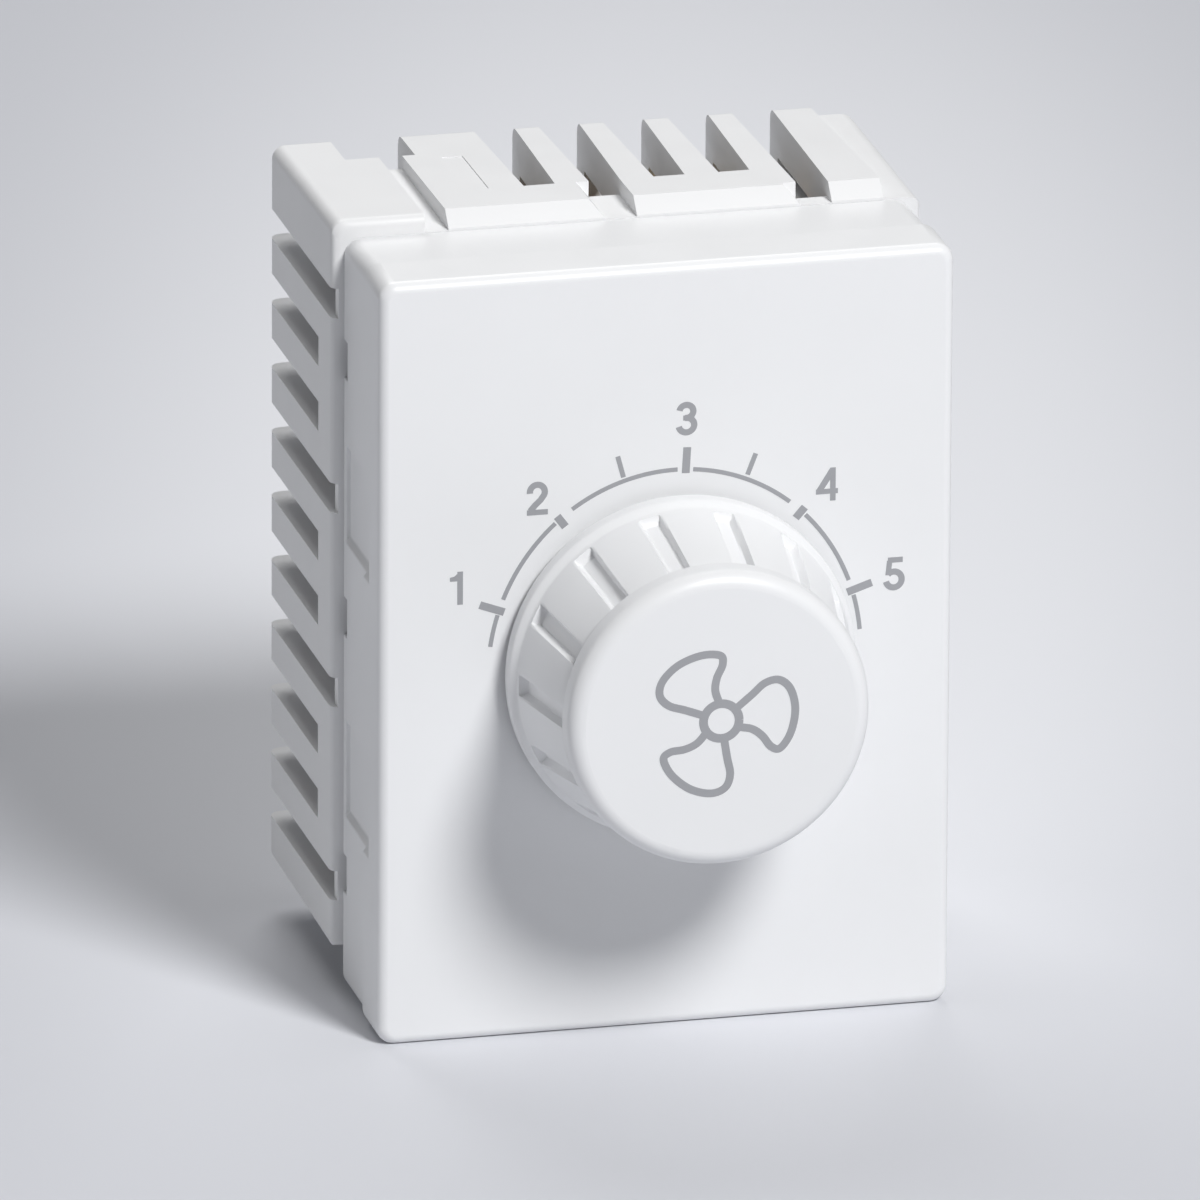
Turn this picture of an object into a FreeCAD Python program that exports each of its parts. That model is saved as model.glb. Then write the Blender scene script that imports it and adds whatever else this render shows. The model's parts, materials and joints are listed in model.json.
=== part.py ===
import FreeCAD, Part
import math
import os

# Fan speed control for a modular wall frame. Millimetres. The face lies in y = 0 and looks to -Y,
# X runs to the right, Z up, and the body reaches back along +Y.
V = FreeCAD.Vector

# Front plate
FACE_W = 33.0
FACE_H = 45.0
FACE_CORNER_R = 1.0
FACE_EDGE_R = 0.6
BEZEL_DEPTH = 4.0
RIM_DEPTH = 5.6
RIM_SIDE_STEP = 0.2
RIM_TOP_STEP = 0.15
RIM_TOP_FALL = 0.2
RIM_BOTTOM_STEP = 0.15
PANEL_T = 2.0
PLATE_WALL = 1.7
POCKET_CENTRES_Z = (7.1, -9.2)
POCKET_H = 6.0
POCKET_RAMP = 0.6
POCKET_CHAMFER = 0.9
POCKET_DEPTH = 0.5
POCKET_FRONT = 2.6
POCKET_RIM = 0.5
SNAP_NOTCH_Z = (15.1, -0.1, -15.4)
SNAP_NOTCH_H = 2.2
SNAP_NOTCH_DEPTH = 0.8
BOSS_R = 1.5
BOSS_INSET = 2.2

# Rear housing
HOUSING_DEPTH = 15.5
HOUSING_OVERHANG = 0.5
HOUSING_TOP_RISE = 0.7
HOUSING_BOTTOM_LIFT = 2.35
HOUSING_CORNER_R = 0.75
TOP_DRAFT = 0.3
BOTTOM_DRAFT = 0.3
FRONT_EDGE_R = 0.5
REAR_EDGE_R = 0.7
HOUSING_WALL = 2.4
REAR_WALL = 2.0
FLANGE_T = 0.8
COLLAR_LEN = 3.4
COLLAR_T = 1.2
COLLAR_CLEARANCE = 0.1
TOP_STEP = 1.0
TOP_CHAMFER = 0.9
BLOCK_RIGHT = -11.65
PAD_LEFT = -10.3
SHOULDER_W_FRONT = 2.2
SHOULDER_W_REAR = 2.7
SIDE_SLOT_COUNT = 10
SIDE_SLOT_PITCH = 3.84
SIDE_SLOT_MID_Z = 1.05
SIDE_SLOT_H = 1.75
SIDE_SLOT_SHORT = 12.25
SIDE_SLOT_LIP = 0.4
SIDE_SLOT_WRAP = 0.65
TOP_SLOT_COUNT = 5
TOP_SLOT_PITCH = 3.75
TOP_SLOT_FIRST_X = -4.1
TOP_SLOT_W = 1.8
TOP_SLOT_REAR_W = 2.4
TOP_SLOT_LEN = 11.4
TOP_SLOT_LAST_LEN = 14.3
TOP_SLOT_WRAP = 0.5
GROOVED_TOP_SLOTS = (1, 4)
GROOVE_SLOPE = 0.8
REAR_NOTCH_LEFT = -13.6
REAR_NOTCH_W = 4.05
REAR_NOTCH_LEN = 4.2
PANEL_RECESS_LEFT = -8.2
PANEL_RECESS_W = 1.2
PANEL_RECESS_LEN = 6.4
PANEL_RECESS_DEPTH = 0.06
BOTTOM_CHAMFER_LEN = 1.2
BOTTOM_CHAMFER_H = 0.4
WIRE_HOLE_R = 1.5
WIRE_HOLE_SIDE_INSET = 7.4
WIRE_HOLE_INSET = 9.6
WIRE_FUNNEL = 0.5

# Knob and shaft, turning about an axis along Y
KNOB_X = 0.6
KNOB_Z = -0.9
KNOB_PROTRUSION = 10.4
KNOB_GAP = 0.4
SKIRT_R = 10.0
SKIRT_LEN = 1.2
KNOB_SHOULDER = 0.3
KNOB_BASE_R = 9.6
KNOB_NECK_R = 8.4
CAP_R = 8.65
CAP_T = 1.9
CAP_EDGE_R = 0.9
CAP_SPIGOT_R = 6.5
CAP_SPIGOT_LEN = 0.9
KNOB_WALL = 1.7
FLUTE_COUNT = 14
FLUTE_W = 1.25
FLUTE_DEPTH = 0.5
FLUTE_END_MARGIN = 0.1
HUB_R = 4.4
SHAFT_R = 3.0
SHAFT_FLAT = 1.5
SHAFT_TIP_CLEARANCE = 0.4
SPRING_T = 0.3
SPRING_W = 3.4
RUNNING_CLEARANCE = 0.03
SEAT_CLEARANCE = 0.02
MOVING_GAP = 0.3

# Rotary control
BUSHING_R = 3.5
BUSHING_FRONT = 1.2
PANEL_HOLE_CLEARANCE = 0.5
NUT_FLATS = 10.0
NUT_T = 2.0
WASHER_R = 5.4
WASHER_T = 0.5
HEAT_PLATE_T = 1.5
HEAT_PLATE_CLEARANCE = 0.2
CASE_R = 8.2
CASE_DEPTH = 6.0
CASE_WALL = 0.8
CASE_FRONT_T = 1.0
WAFER_T = 1.2
CARRIER_R = 6.5
CARRIER_T = 1.4
WIPER_T = 0.3
WIPER_INNER_R = 3.8
WIPER_OUTER_R = 5.8
WIPER_ANGLE = 50.0
PIN_SPACING = 5.0
PIN_DROP = 5.0
PIN_R = 0.45

# Circuit board and what it carries
BOARD_T = 1.6
BOARD_MARGIN = 0.5
REAR_CLEARANCE = 0.6
POST_R = 1.5
POST_INSET = 2.0
LEAD_R = 0.3
LEAD_HOLE_CLEARANCE = 0.15
LEAD_STUB = 0.7
TRIAC_W = 7.8
TRIAC_H = 11.0
TRIAC_T = 2.7
TRIAC_X = -7.6
TRIAC_INSET = 0.8
TRIAC_HOLE_RISE = 2.1
TRIAC_LEAD_PITCH = 2.3
TRIAC_LEAD_DROP = 1.4
TRIAC_SCREW_R = 1.45
TRIAC_HEAD_R = 2.8
TRIAC_HEAD_T = 1.7
CHOKE_SIDE_INSET = 7.8
CHOKE_RISE = 5.0
CHOKE_OUTER_R = 3.7
CHOKE_INNER_R = 1.9
CHOKE_T = 4.6
WINDING_T = 0.7
WINDING_ANGLE = 300.0
BIG_CAP_X = 0.0
BIG_CAP_LEAD_GAP = 0.8
BIG_CAP_SIZE = (13.0, 6.0, 5.4)
BIG_CAP_PITCH = 10.0
SMALL_CAP_X = 6.0
SMALL_CAP_GAP = 0.7
SMALL_CAP_SIZE = (7.2, 5.4, 2.6)
SMALL_CAP_PITCH = 5.0
CAP_CASE_EDGE = 0.4
RESISTOR_R = 1.15
RESISTOR_LEN = 6.3
RESISTOR_PITCH = 9.0
RESISTOR_RISES = (6.7, 3.9)
AXIAL_X = 4.5
DIAC_R = 0.95
DIAC_LEN = 4.0
DIAC_PITCH = 6.4
DIAC_RISE = 1.3
CLAMP_W = 5.0
CLAMP_T = 0.8
CLAMP_HEADROOM = 2.4
CLAMP_SPRING_T = 0.4
CLAMP_SPRING_W = 4.2
CLAMP_REAR_GAP = 0.6

# Levels that follow from the sizes above
PLATE_DEPTH = BEZEL_DEPTH + RIM_DEPTH
HOUSING_REAR = PLATE_DEPTH + HOUSING_DEPTH
CAVITY_REAR = HOUSING_REAR - REAR_WALL
FACE_RIGHT = FACE_W / 2
FACE_TOP = FACE_H / 2
PLATE_IN_X = FACE_RIGHT - PLATE_WALL
PLATE_IN_Z = FACE_TOP - PLATE_WALL
HOUSE_X = FACE_RIGHT + HOUSING_OVERHANG
HOUSE_TOP = FACE_TOP + HOUSING_TOP_RISE
TOP_BASE = HOUSE_TOP - TOP_STEP
HOUSE_BOTTOM = -FACE_TOP + HOUSING_BOTTOM_LIFT
COLLAR_X = PLATE_IN_X - COLLAR_CLEARANCE
COLLAR_Z = PLATE_IN_Z - COLLAR_CLEARANCE
COLLAR_FRONT = PLATE_DEPTH - COLLAR_LEN
HEAT_PLATE_FRONT = COLLAR_FRONT - HEAT_PLATE_T
WASHER_FRONT = HEAT_PLATE_FRONT - WASHER_T
NUT_FRONT = WASHER_FRONT - NUT_T
CASE_REAR = COLLAR_FRONT + CASE_DEPTH
WAFER_FRONT = CASE_REAR - WAFER_T
CARRIER_FRONT = COLLAR_FRONT + CASE_FRONT_T + MOVING_GAP
CARRIER_REAR = CARRIER_FRONT + CARRIER_T
CAP_REAR = -KNOB_PROTRUSION + CAP_T
SHAFT_TIP = CAP_REAR + CAP_SPIGOT_LEN + SHAFT_TIP_CLEARANCE
FAR = 100.0


def share(y, start, change):
    """A housing level at depth y, drafted by change from its front to its rear."""
    return start + change * (y - PLATE_DEPTH) / HOUSING_DEPTH


def top_level(y):
    return share(y, HOUSE_TOP, -TOP_DRAFT)


def bottom_level(y):
    return share(y, HOUSE_BOTTOM, BOTTOM_DRAFT)


# The board fits the housing's cavity, and what it carries is placed from its edges
BOARD_REAR = CAVITY_REAR - REAR_CLEARANCE - BIG_CAP_SIZE[1]
BOARD_FRONT = BOARD_REAR - BOARD_T
BOARD_X = HOUSE_X - HOUSING_WALL - BOARD_MARGIN
BOARD_TOP = top_level(BOARD_REAR) - HOUSING_WALL - BOARD_MARGIN
BOARD_BOTTOM = bottom_level(BOARD_REAR) + HOUSING_WALL + BOARD_MARGIN
WIRE_HOLE_X = BOARD_X - WIRE_HOLE_SIDE_INSET
WIRE_HOLE_Z = HOUSE_TOP - WIRE_HOLE_INSET
TRIAC_Z = COLLAR_Z - COLLAR_T - TRIAC_INSET - TRIAC_H / 2
TRIAC_LEAD_Z = TRIAC_Z - TRIAC_H / 2 - TRIAC_LEAD_DROP
BIG_CAP_Z = TRIAC_LEAD_Z - BIG_CAP_LEAD_GAP - BIG_CAP_SIZE[2] / 2
SMALL_CAP_Z = BIG_CAP_Z + BIG_CAP_SIZE[2] / 2 + SMALL_CAP_GAP + SMALL_CAP_SIZE[2] / 2
CHOKE_X = -BOARD_X + CHOKE_SIDE_INSET
CHOKE_Z = BOARD_BOTTOM + CHOKE_RISE
RESISTOR_ZS = [BOARD_BOTTOM + rise for rise in RESISTOR_RISES]
DIAC_Z = BOARD_BOTTOM + DIAC_RISE


def box(x0, x1, y0, y1, z0, z1):
    return Part.makeBox(x1 - x0, y1 - y0, z1 - z0, V(x0, y0, z0))


def rod(x, z, radius, y0, y1):
    return Part.makeCylinder(radius, y1 - y0, V(x, y0, z), V(0, 1, 0))


def turned(profile, angle=360.0):
    """Revolve (radius, y) points about the knob's axis."""
    points = [V(KNOB_X + r, y, KNOB_Z) for r, y in profile]
    face = Part.Face(Part.makePolygon(points + points[:1]))
    return face.revolve(V(KNOB_X, 0, KNOB_Z), V(0, 1, 0), angle)


def side_prism(outline, x0, x1):
    """Extrude a (y, z) outline along X."""
    points = [V(x0, y, z) for y, z in outline]
    face = Part.Face(Part.makePolygon(points + points[:1]))
    return face.extrude(V(x1 - x0, 0, 0))


def plan_prism(outline, z0, z1):
    """Extrude an (x, y) outline along Z."""
    points = [V(x, y, z0) for x, y in outline]
    face = Part.Face(Part.makePolygon(points + points[:1]))
    return face.extrude(V(0, 0, z1 - z0))


def front_prism(outline, y0, y1):
    """Extrude an (x, z) outline along Y."""
    points = [V(x, y0, z) for x, z in outline]
    face = Part.Face(Part.makePolygon(points + points[:1]))
    return face.extrude(V(0, y1 - y0, 0))


def rounded_rect(x0, x1, z0, z1, radius, y):
    """Closed wire of a rectangle with round corners in a plane of constant y."""
    corners = ((x1, z0, 270), (x1, z1, 0), (x0, z1, 90), (x0, z0, 180))
    edges = []
    last = None
    first = None
    for cx, cz, start in corners:
        mx = cx - radius if cx == x1 else cx + radius
        mz = cz - radius if cz == z1 else cz + radius
        arc = []
        for turn in (0, 45, 90):
            a = math.radians(start + turn)
            arc.append(V(mx + radius * math.cos(a), y, mz + radius * math.sin(a)))
        if last is not None:
            edges.append(Part.LineSegment(last, arc[0]).toShape())
        else:
            first = arc[0]
        edges.append(Part.Arc(arc[0], arc[1], arc[2]).toShape())
        last = arc[2]
    edges.append(Part.LineSegment(last, first).toShape())
    return Part.Wire(edges)


def edges_on_y(shape, y):
    """Edges that lie wholly in a plane of constant y."""
    found = []
    for edge in shape.Edges:
        bounds = edge.BoundBox
        if abs(bounds.YMin - y) < 1e-4 and abs(bounds.YMax - y) < 1e-4:
            found.append(edge)
    return found


def fused(shapes):
    return shapes[0].multiFuse(shapes[1:]).removeSplitter()


def pocket_tool(centre_z, side):
    """Latch pocket in a side of the plate, with a ramp at its lower end."""
    top = centre_z + POCKET_H / 2
    bottom = centre_z - POCKET_H / 2
    floor_x = FACE_RIGHT - POCKET_DEPTH
    rear = PLATE_DEPTH - POCKET_RIM
    across = (
        (floor_x, top),
        (FACE_W, top),
        (FACE_W, bottom - POCKET_RAMP),
        (FACE_RIGHT, bottom),
        (floor_x, bottom + POCKET_RAMP),
    )
    ramp = front_prism([(side * x, z) for x, z in across], 0, PLATE_DEPTH)
    outline = (
        (POCKET_FRONT, bottom - POCKET_RAMP),
        (rear, bottom - POCKET_RAMP),
        (rear, top),
        (POCKET_FRONT + POCKET_CHAMFER, top),
        (POCKET_FRONT, top - POCKET_CHAMFER),
    )
    return ramp.common(side_prism(outline, -FACE_W, FACE_W))


def build_front_plate():
    bezel_wire = rounded_rect(-FACE_RIGHT, FACE_RIGHT, -FACE_TOP, FACE_TOP, FACE_CORNER_R, 0)
    bezel = Part.Face(bezel_wire).extrude(V(0, BEZEL_DEPTH, 0))
    bezel = bezel.makeFillet(FACE_EDGE_R, edges_on_y(bezel, 0))
    rim_x = FACE_RIGHT - RIM_SIDE_STEP
    rim_top = FACE_TOP - RIM_TOP_STEP
    rim_bottom = -FACE_TOP + RIM_BOTTOM_STEP
    rim = Part.makeLoft(
        [
            rounded_rect(-rim_x, rim_x, rim_bottom, rim_top, FACE_CORNER_R, BEZEL_DEPTH),
            rounded_rect(-rim_x, rim_x, rim_bottom, rim_top - RIM_TOP_FALL, FACE_CORNER_R, PLATE_DEPTH),
        ],
        True,
        True,
    )
    hollow_wire = rounded_rect(
        -PLATE_IN_X, PLATE_IN_X, -PLATE_IN_Z, PLATE_IN_Z, FACE_CORNER_R / 2, PANEL_T
    )
    hollow = Part.Face(hollow_wire).extrude(V(0, PLATE_DEPTH, 0))
    hole_r = BUSHING_R + PANEL_HOLE_CLEARANCE
    tools = [hollow, rod(KNOB_X, KNOB_Z, hole_r, -1, PANEL_T + 1)]
    for side in (-1, 1):
        for centre_z in POCKET_CENTRES_Z:
            tools.append(pocket_tool(centre_z, side))
        for z in SNAP_NOTCH_Z:
            x_in = side * PLATE_IN_X
            x_out = side * FACE_W
            notch_z = (z - SNAP_NOTCH_H / 2, z + SNAP_NOTCH_H / 2)
            tools.append(
                box(min(x_in, x_out), max(x_in, x_out), PLATE_DEPTH - SNAP_NOTCH_DEPTH, FAR, *notch_z)
            )
    plate = bezel.fuse(rim).cut(tools)
    posts = []
    for sx in (-1, 1):
        for sz in (-1, 1):
            x = sx * (PLATE_IN_X - BOSS_INSET)
            z = sz * (PLATE_IN_Z - BOSS_INSET)
            posts.append(rod(x, z, BOSS_R, PANEL_T, HEAT_PLATE_FRONT))
    return fused([plate] + posts)


def housing_block():
    """Drafted outer block with rounded front and rear edges."""
    front = []
    rear = []
    for turn in (0, 30, 60, 90):
        a = math.radians(turn)
        back_off = 1 - math.sin(a)
        inset = 1 - math.cos(a)
        front.insert(0, (PLATE_DEPTH + FRONT_EDGE_R * back_off, FRONT_EDGE_R * inset))
        rear.append((HOUSING_REAR - REAR_EDGE_R * back_off, REAR_EDGE_R * inset))
    wires = []
    for y, inset in front + rear:
        x = HOUSE_X - inset
        wires.append(
            rounded_rect(-x, x, bottom_level(y) + inset, top_level(y) - inset, HOUSING_CORNER_R, y)
        )
    return Part.makeLoft(wires, True, True)


def side_slot(centre_z, front, side):
    """Vent slot through a side wall, open at the rear."""
    inner = HOUSE_X - HOUSING_WALL - SIDE_SLOT_WRAP
    low = centre_z - SIDE_SLOT_H / 2
    high = centre_z + SIDE_SLOT_H / 2
    outline = ((front, low), (FAR, low), (FAR, high), (front, high))
    return side_prism(outline, side * inner, side * FACE_W)


def slot_mouth(centre_z, side):
    """Shallow end of a long slot, through the outer edge of the housing's front."""
    low = centre_z - SIDE_SLOT_H / 2
    high = centre_z + SIDE_SLOT_H / 2
    rear = PLATE_DEPTH + 2 * FLANGE_T
    outline = ((0, low), (rear, low), (rear, high), (0, high))
    return side_prism(outline, side * (HOUSE_X - SIDE_SLOT_LIP), side * FACE_W)


def housing_cavity():
    wires = []
    for y in (PLATE_DEPTH + FLANGE_T, CAVITY_REAR):
        x = HOUSE_X - HOUSING_WALL
        low = bottom_level(y) + HOUSING_WALL
        high = top_level(y) - HOUSING_WALL
        wires.append(rounded_rect(-x, x, low, high, HOUSING_CORNER_R / 2, y))
    return Part.makeLoft(wires, True, True)


def board_posts():
    posts = []
    for side in (-1, 1):
        x = side * (BOARD_X - POST_INSET)
        for z in (BOARD_TOP - POST_INSET, BOARD_BOTTOM + POST_INSET):
            posts.append(rod(x, z, POST_R, BOARD_REAR, CAVITY_REAR + REAR_WALL / 2))
    return posts


def edge_cuts():
    """Chamfers along the front of the raised top and of the underside."""
    top_outline = (
        (0, HOUSE_TOP - TOP_CHAMFER),
        (PLATE_DEPTH, HOUSE_TOP - TOP_CHAMFER),
        (PLATE_DEPTH + TOP_CHAMFER, HOUSE_TOP),
        (PLATE_DEPTH + TOP_CHAMFER, FAR),
        (0, FAR),
    )
    chamfer_end = PLATE_DEPTH + BOTTOM_CHAMFER_LEN
    bottom_outline = (
        (0, HOUSE_BOTTOM + BOTTOM_CHAMFER_H),
        (PLATE_DEPTH, HOUSE_BOTTOM + BOTTOM_CHAMFER_H),
        (chamfer_end, bottom_level(chamfer_end)),
        (chamfer_end, -FAR),
        (0, -FAR),
    )
    return [side_prism(top_outline, BLOCK_RIGHT, FACE_W), side_prism(bottom_outline, -FACE_W, FACE_W)]


def shoulder_cuts():
    """Lower step along the top's right side, with a round outer edge."""
    front_x = HOUSE_X - SHOULDER_W_FRONT
    rear_x = HOUSE_X - SHOULDER_W_REAR
    plan = (
        (front_x, 0),
        (front_x, PLATE_DEPTH),
        (rear_x, HOUSING_REAR),
        (rear_x, FAR),
        (FACE_W, FAR),
        (FACE_W, 0),
    )
    round_x = HOUSE_X - HOUSING_CORNER_R
    round_z = TOP_BASE - HOUSING_CORNER_R
    corner = box(round_x, FACE_W, 0, FAR, round_z, FAR)
    return [plan_prism(plan, TOP_BASE, FAR), corner.cut(rod(round_x, round_z, HOUSING_CORNER_R, 0, FAR))]


def side_slots():
    """Ten slots a side. Every third one runs through the flange to the housing's front edge."""
    tools = []
    for side in (-1, 1):
        for k in range(SIDE_SLOT_COUNT):
            z = SIDE_SLOT_MID_Z + SIDE_SLOT_PITCH * ((SIDE_SLOT_COUNT - 1) / 2 - k)
            if k % 3 == 0:
                tools.append(side_slot(z, PLATE_DEPTH + FLANGE_T, side))
                tools.append(slot_mouth(z, side))
            else:
                tools.append(side_slot(z, HOUSING_REAR - SIDE_SLOT_SHORT, side))
    return tools


def top_slot_plan(x, front):
    """Plan of a vent slot that widens to the rear."""
    half = TOP_SLOT_W / 2
    rear_half = TOP_SLOT_REAR_W / 2
    return (
        (x - half, front),
        (x + half, front),
        (x + rear_half, HOUSING_REAR),
        (x + rear_half, FAR),
        (x - rear_half, FAR),
        (x - rear_half, HOUSING_REAR),
    )


def top_groove(x, rear):
    """Shallow groove from a slot to the front, with one sloped side."""
    half = TOP_SLOT_W / 2
    outline = (
        (x - half, TOP_BASE),
        (x + half, TOP_BASE),
        (x + half, TOP_BASE + 2 * TOP_STEP),
        (x - half - 2 * GROOVE_SLOPE, TOP_BASE + 2 * TOP_STEP),
    )
    return front_prism(outline, 0, rear)


def top_cuts():
    """Vent slots through top and underside, shallow grooves, the rear notch and the panel recess."""
    slot_floor = top_level(HOUSING_REAR) - HOUSING_WALL - TOP_SLOT_WRAP
    slot_roof = bottom_level(HOUSING_REAR) + HOUSING_WALL + TOP_SLOT_WRAP
    tools = []
    for k in range(TOP_SLOT_COUNT):
        x = TOP_SLOT_FIRST_X + k * TOP_SLOT_PITCH
        length = TOP_SLOT_LAST_LEN if k == TOP_SLOT_COUNT - 1 else TOP_SLOT_LEN
        front = HOUSING_REAR - length
        plan = top_slot_plan(x, front)
        tools.append(plan_prism(plan, slot_floor, FAR))
        tools.append(plan_prism(plan, -FAR, slot_roof))
        if k in GROOVED_TOP_SLOTS:
            tools.append(top_groove(x, front))
    notch_front = HOUSING_REAR - REAR_NOTCH_LEN
    notch_x = (REAR_NOTCH_LEFT, REAR_NOTCH_LEFT + REAR_NOTCH_W)
    tools.append(box(*notch_x, notch_front, FAR, slot_floor, FAR))
    tools.append(box(BLOCK_RIGHT, PAD_LEFT, 0, notch_front, TOP_BASE, FAR))
    recess_start = HOUSING_REAR - TOP_SLOT_LEN
    recess_end = recess_start + PANEL_RECESS_LEN
    recess_outline = (
        (recess_start, top_level(recess_start) - PANEL_RECESS_DEPTH),
        (recess_end, top_level(recess_end) - PANEL_RECESS_DEPTH),
        (recess_end, FAR),
        (recess_start, FAR),
    )
    recess_right = PANEL_RECESS_LEFT + PANEL_RECESS_W
    tools.append(side_prism(recess_outline, PANEL_RECESS_LEFT, recess_right))
    return tools


def wire_holes():
    """Wire entries through the rear wall, each with a small funnel."""
    tools = []
    for side in (-1, 1):
        x = side * WIRE_HOLE_X
        tools.append(rod(x, WIRE_HOLE_Z, WIRE_HOLE_R, CAVITY_REAR - REAR_WALL, FAR))
        funnel_r = WIRE_HOLE_R + WIRE_FUNNEL
        funnel_at = V(x, HOUSING_REAR - WIRE_FUNNEL, WIRE_HOLE_Z)
        tools.append(Part.makeCone(WIRE_HOLE_R, funnel_r, WIRE_FUNNEL, funnel_at, V(0, 1, 0)))
    return tools


def build_rear_housing():
    collar_wire = rounded_rect(
        -COLLAR_X, COLLAR_X, -COLLAR_Z, COLLAR_Z, FACE_CORNER_R / 2, COLLAR_FRONT
    )
    collar = Part.Face(collar_wire).extrude(V(0, COLLAR_LEN + FLANGE_T, 0))
    bore_wire = rounded_rect(
        -COLLAR_X + COLLAR_T,
        COLLAR_X - COLLAR_T,
        -COLLAR_Z + COLLAR_T,
        COLLAR_Z - COLLAR_T,
        FACE_CORNER_R / 2,
        COLLAR_FRONT - 1,
    )
    bore = Part.Face(bore_wire).extrude(V(0, COLLAR_LEN + FLANGE_T + 2, 0))
    outer = housing_block().cut(edge_cuts() + shoulder_cuts())
    shell = outer.fuse(collar).cut([bore, housing_cavity()])
    vented = shell.cut(side_slots() + top_cuts() + wire_holes())
    return fused([vented] + board_posts())


def knob_outline(y):
    """Radius of the knob's fluted side at depth y, a cone between the skirt's shoulder and the neck."""
    base = -KNOB_GAP - SKIRT_LEN - KNOB_SHOULDER
    return KNOB_BASE_R + (KNOB_NECK_R - KNOB_BASE_R) * (base - y) / (base - CAP_REAR)


def flute_tools():
    """Flat-bottomed grooves along the cone, from just short of the skirt to the cap's rear face."""
    start = -KNOB_GAP - SKIRT_LEN - KNOB_SHOULDER - FLUTE_END_MARGIN
    outline = (
        (start, KNOB_Z + knob_outline(start) - FLUTE_DEPTH),
        (start, KNOB_Z + SKIRT_R + FLUTE_W),
        (CAP_REAR - FLUTE_W, KNOB_Z + SKIRT_R + FLUTE_W),
        (CAP_REAR - FLUTE_W, KNOB_Z + knob_outline(CAP_REAR - FLUTE_W) - FLUTE_DEPTH),
    )
    groove = side_prism(outline, KNOB_X - FLUTE_W / 2, KNOB_X + FLUTE_W / 2)
    tools = []
    for k in range(FLUTE_COUNT):
        copy = groove.copy()
        copy.rotate(V(KNOB_X, 0, KNOB_Z), V(0, 1, 0), (k + 0.5) * 360.0 / FLUTE_COUNT)
        tools.append(copy)
    return tools


def d_section(radius, flat, y0, y1):
    """Round bar with a flat on its upper side."""
    bar = rod(KNOB_X, KNOB_Z, radius, y0, y1)
    return bar.cut(box(-FAR, FAR, y0 - 1, y1 + 1, KNOB_Z + flat, FAR))


def build_knob_body():
    rear = -KNOB_GAP
    skirt_front = rear - SKIRT_LEN
    roof = CAP_REAR + CAP_SPIGOT_LEN + KNOB_WALL
    profile = (
        (0, rear - SKIRT_LEN / 2),
        (HUB_R, rear - SKIRT_LEN / 2),
        (HUB_R, roof),
        (knob_outline(roof) - KNOB_WALL, roof),
        (KNOB_BASE_R - KNOB_WALL, skirt_front),
        (KNOB_BASE_R - KNOB_WALL, rear),
        (SKIRT_R, rear),
        (SKIRT_R, skirt_front),
        (KNOB_BASE_R, skirt_front - KNOB_SHOULDER),
        (KNOB_NECK_R, CAP_REAR),
        (CAP_SPIGOT_R + SEAT_CLEARANCE, CAP_REAR),
        (CAP_SPIGOT_R + SEAT_CLEARANCE, CAP_REAR + CAP_SPIGOT_LEN),
        (0, CAP_REAR + CAP_SPIGOT_LEN),
    )
    bore_flat = SHAFT_FLAT + SPRING_T + 2 * SEAT_CLEARANCE
    bore = d_section(SHAFT_R + SEAT_CLEARANCE, bore_flat, SHAFT_TIP - SHAFT_TIP_CLEARANCE / 2, 0)
    return turned(profile).cut([bore] + flute_tools())


def build_knob_cap():
    front = -KNOB_PROTRUSION
    disc = rod(KNOB_X, KNOB_Z, CAP_R, front, CAP_REAR)
    disc = disc.makeFillet(CAP_EDGE_R, edges_on_y(disc, front))
    return disc.fuse(rod(KNOB_X, KNOB_Z, CAP_SPIGOT_R, CAP_REAR, CAP_REAR + CAP_SPIGOT_LEN))


def build_knob_spring():
    """Leaf between the shaft's flat and the hub, bent over the hub's rear end."""
    low = KNOB_Z + SHAFT_FLAT + SEAT_CLEARANCE
    high = low + SPRING_T
    hub_rear = -KNOB_GAP - SKIRT_LEN / 2
    outline = (
        (SHAFT_TIP + SPRING_T, low),
        (hub_rear + SEAT_CLEARANCE + SPRING_T, low),
        (hub_rear + SEAT_CLEARANCE + SPRING_T, high + SPRING_W / 3),
        (hub_rear + SEAT_CLEARANCE, high + SPRING_W / 3),
        (hub_rear + SEAT_CLEARANCE, high),
        (SHAFT_TIP + SPRING_T, high),
    )
    return side_prism(outline, KNOB_X - SPRING_W / 2, KNOB_X + SPRING_W / 2)


def build_control_shaft():
    flat_end = BUSHING_FRONT - MOVING_GAP
    tip = d_section(SHAFT_R, SHAFT_FLAT, SHAFT_TIP, flat_end)
    return fused([tip, rod(KNOB_X, KNOB_Z, SHAFT_R, flat_end, CARRIER_REAR)])


def build_wiper_carrier():
    disc = rod(KNOB_X, KNOB_Z, CARRIER_R, CARRIER_FRONT, CARRIER_REAR)
    return disc.cut(rod(KNOB_X, KNOB_Z, SHAFT_R + SEAT_CLEARANCE, 0, FAR))


def build_wiper_contact():
    """Sprung strip, rivetted flat on the carrier and bent back towards the track."""
    tip = WAFER_FRONT - MOVING_GAP
    bend = (WIPER_INNER_R + WIPER_OUTER_R) / 2
    profile = (
        (WIPER_INNER_R, CARRIER_REAR),
        (bend + WIPER_T, CARRIER_REAR),
        (WIPER_OUTER_R, tip - WIPER_T),
        (WIPER_OUTER_R, tip),
        (WIPER_OUTER_R - WIPER_T, tip),
        (bend, CARRIER_REAR + WIPER_T),
        (WIPER_INNER_R, CARRIER_REAR + WIPER_T),
    )
    return turned(profile, WIPER_ANGLE)


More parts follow.
